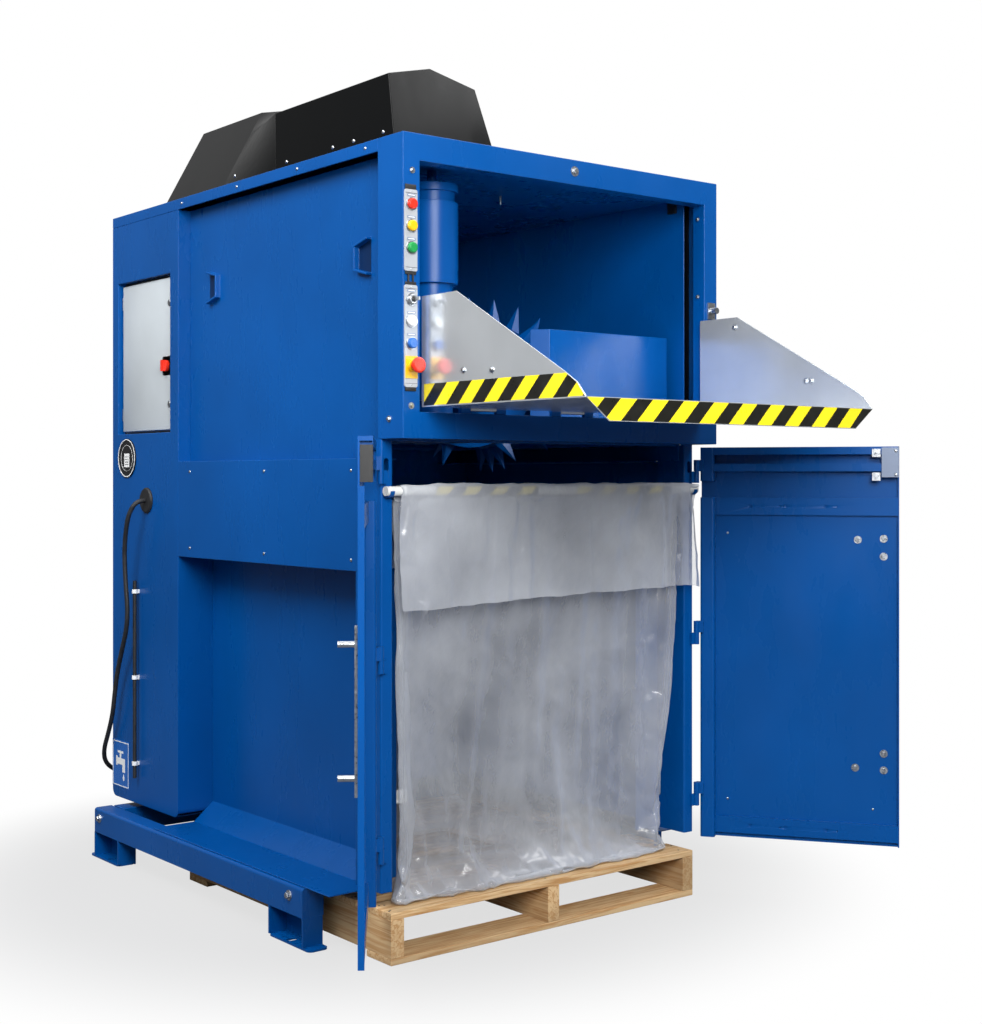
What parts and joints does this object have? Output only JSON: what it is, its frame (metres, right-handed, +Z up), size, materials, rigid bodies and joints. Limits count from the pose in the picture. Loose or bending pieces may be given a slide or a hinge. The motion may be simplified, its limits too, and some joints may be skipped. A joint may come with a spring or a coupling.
{
  "type": "rotary waste compactor with bag and pallet",
  "caption": "Upright waste compactor with a side-hung spiked rotor, stainless loading flap, open bag doors, plastic bag on a timber pallet and a black roof hood.",
  "frame": {"origin": "on the floor, in the middle of the four anchor slots", "axes": "+Z up, +Y from the front to the back, +X to the right seen from the front"},
  "size_m": [2.024, 2.5521, 2.541],
  "materials": {
    "bar_paint": "painted tube with striped tape",
    "black_plastic": "moulded",
    "black_sheet": "gloss powder coat",
    "blue_paint": "gloss powder coat",
    "blue_plastic": "moulded",
    "film": "translucent film",
    "green_plastic": "moulded",
    "grey_enclosure": "satin paint",
    "red_plastic": "moulded",
    "rubber": "moulded",
    "stainless": "brushed",
    "timber": "sawn pine",
    "white_plastic": "moulded",
    "yellow_plastic": "moulded",
    "zinc_steel": "zinc plated"
  },
  "bodies": {
    "housing": {"bag": "film", "bag_bar": "bar_paint", "blue_button": "blue_plastic", "cable_gland": "rubber", "cable_grommet": "rubber", "chamber_shelf": "blue_paint", "drain_hose": "rubber", "electrical_enclosure": "grey_enclosure", "flap_catch": "zinc_steel", "flap_hinge": "blue_paint", "front_hood": "black_sheet", "front_left_foot": "blue_paint", "front_right_foot": "blue_paint", "green_button": "green_plastic", "guard_plate": "blue_paint", "hose_clips": "white_plastic", "key_switch": "zinc_steel", "left_belt": "blue_paint", "left_lower_wall": "blue_paint", "left_post": "blue_paint", "left_rail": "blue_paint", "left_upper_panel": "blue_paint", "loading_surround": "blue_paint", "lower_control_box": "grey_enclosure", "main_switch": "black_plastic", "pallet_floor_boards": "timber", "pallet_stringers": "timber", "pallet_top_boards": "timber", "power_cable": "rubber", "rear_cabinet": "blue_paint", "rear_crossbeam": "blue_paint", "rear_hood": "black_sheet", "rear_left_foot": "blue_paint", "rear_right_foot": "blue_paint", "red_button": "red_plastic", "right_belt": "blue_paint", "right_chamber_wall": "blue_paint", "right_lower_wall": "blue_paint", "right_post": "blue_paint", "right_rail": "blue_paint", "right_upper_panel": "blue_paint", "roof": "blue_paint", "round_plate": "black_plastic", "stop_collar": "yellow_plastic", "swivel_column": "blue_paint", "upper_control_box": "grey_enclosure", "white_button": "white_plastic", "yellow_button": "yellow_plastic"},
    "left_door": {"left_door": "blue_paint", "switch_housing": "black_plastic", "latch_bar": "zinc_steel"},
    "right_door": {"right_door": "blue_paint", "striker_plate": "zinc_steel"},
    "loading_flap": {"loading_flap": "stainless"},
    "rotor_arm": {"rotor_arm": "blue_paint"},
    "rotor_drum": {"rotor_drum": "blue_paint"},
    "main_switch_knob": {"main_switch_knob": "red_plastic"},
    "stop_button": {"stop_button": "red_plastic"}
  },
  "joints": [
    {"name": "left_door_hinge", "type": "hinge", "parent": "housing", "child": "left_door", "pos_m": [-0.612, -0.943, 0.8305], "axis": [0, 0, 1], "range_deg": [-30, 125]},
    {"name": "right_door_hinge", "type": "hinge", "parent": "housing", "child": "right_door", "pos_m": [0.612, -0.943, 0.8305], "axis": [0, 0, -1], "range_deg": [-30, 125]},
    {"name": "flap_hinge", "type": "hinge", "parent": "housing", "child": "loading_flap", "pos_m": [0, -1.032, 1.517], "axis": [-1, 0, 0], "range_deg": [0, 90]},
    {"name": "arm_swing", "type": "hinge", "parent": "housing", "child": "rotor_arm", "pos_m": [-0.343, -0.812, 1.622], "axis": [0, 0, 1], "range_deg": [-2, 36]},
    {"name": "drum_spin", "type": "hinge", "parent": "rotor_arm", "child": "rotor_drum", "pos_m": [-0.0267, -0.58555, 1.622], "axis": [0.8131, 0.5821, 0], "continuous": true},
    {"name": "main_switch_turn", "type": "hinge", "parent": "housing", "child": "main_switch_knob", "pos_m": [-0.591, 0.366, 1.706], "axis": [-1, 0, 0], "range_deg": [0, 90]},
    {"name": "stop_button_press", "type": "slide", "parent": "housing", "child": "stop_button", "axis": [0, 1, 0], "range_m": [0, 0.008]}
  ]
}
